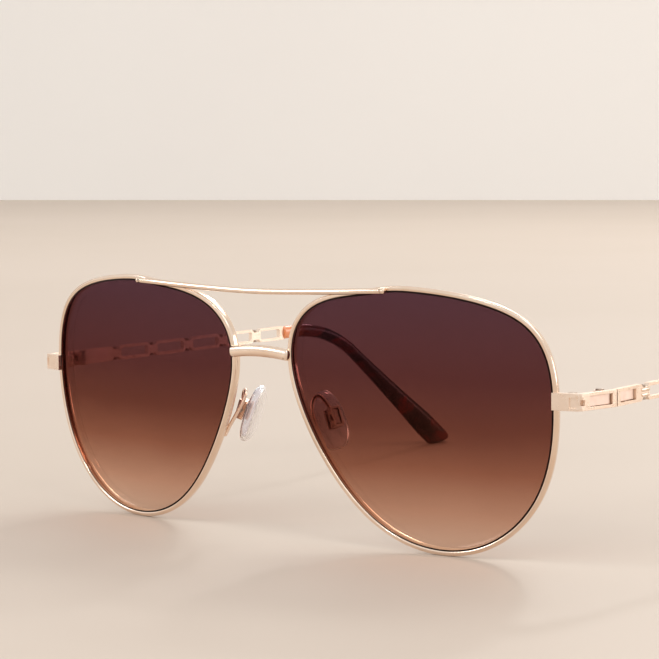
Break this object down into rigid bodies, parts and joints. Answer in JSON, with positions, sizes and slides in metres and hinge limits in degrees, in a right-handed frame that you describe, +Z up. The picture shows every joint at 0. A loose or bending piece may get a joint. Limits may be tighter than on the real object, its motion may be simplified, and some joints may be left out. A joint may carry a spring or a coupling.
{
  "type": "aviator sunglasses",
  "caption": "Aviator sunglasses with a wire front, brow bar, graduated tinted lenses, clear nose pads and folding open-link temples.",
  "frame": {"origin": "middle of the open pair's footprint, on the surface that the rims and tips stand on", "axes": "+Z up, +Y from the lenses back along the open temples, +X to the wearer's left"},
  "size_m": [0.146, 0.1501, 0.0527],
  "materials": {
    "frame_metal": "polished rose gold plating",
    "hinge_leaf": "pale plated metal, satin",
    "screw": "plain steel",
    "lens": "clear brown tint, dark at the top and pale at the bottom",
    "temple_tip": "polished tortoiseshell",
    "nose_pad": "clear silicone"
  },
  "bodies": {
    "front": {"bridge": "frame_metal", "brow_bar": "frame_metal", "left_rim": "frame_metal", "left_lens": "lens", "left_end_piece": "frame_metal", "left_closing_block": "frame_metal", "left_rim_screw": "screw", "left_front_hinge_leaf": "hinge_leaf", "left_hinge_screw": "screw", "left_pad_arm": "frame_metal", "left_pad_clip": "frame_metal", "left_pad_screw": "screw", "right_rim": "frame_metal", "right_lens": "lens", "right_end_piece": "frame_metal", "right_closing_block": "frame_metal", "right_rim_screw": "screw", "right_front_hinge_leaf": "hinge_leaf", "right_hinge_screw": "screw", "right_pad_arm": "frame_metal", "right_pad_clip": "frame_metal", "right_pad_screw": "screw"},
    "left_temple": {"left_temple_hinge_leaf": "hinge_leaf", "left_temple_links": "frame_metal", "left_link_pins": "screw", "left_core_wire": "screw", "left_temple_tip": "temple_tip"},
    "right_temple": {"right_temple_hinge_leaf": "hinge_leaf", "right_temple_links": "frame_metal", "right_link_pins": "screw", "right_core_wire": "screw", "right_temple_tip": "temple_tip"},
    "left_pad": {"left_nose_pad": "nose_pad", "left_pad_insert": "hinge_leaf"},
    "right_pad": {"right_nose_pad": "nose_pad", "right_pad_insert": "hinge_leaf"}
  },
  "joints": [
    {"name": "left_temple_fold", "type": "hinge", "parent": "front", "child": "left_temple", "pos_m": [0.07, -0.05437, 0.0317], "axis": [0, 0, 1], "range_deg": [0, 84]},
    {"name": "right_temple_fold", "type": "hinge", "parent": "front", "child": "right_temple", "pos_m": [-0.07, -0.05437, 0.0317], "axis": [0, 0, -1], "range_deg": [0, 87.5]},
    {"name": "left_pad_rock", "type": "hinge", "parent": "front", "child": "left_pad", "pos_m": [0.01266, -0.06398, 0.025], "axis": [-0.3384, -0.9356, -0.1008], "range_deg": [-8, 8]},
    {"name": "right_pad_rock", "type": "hinge", "parent": "front", "child": "right_pad", "pos_m": [-0.01266, -0.06398, 0.025], "axis": [0.3384, -0.9356, -0.1008], "range_deg": [-8, 8]}
  ]
}
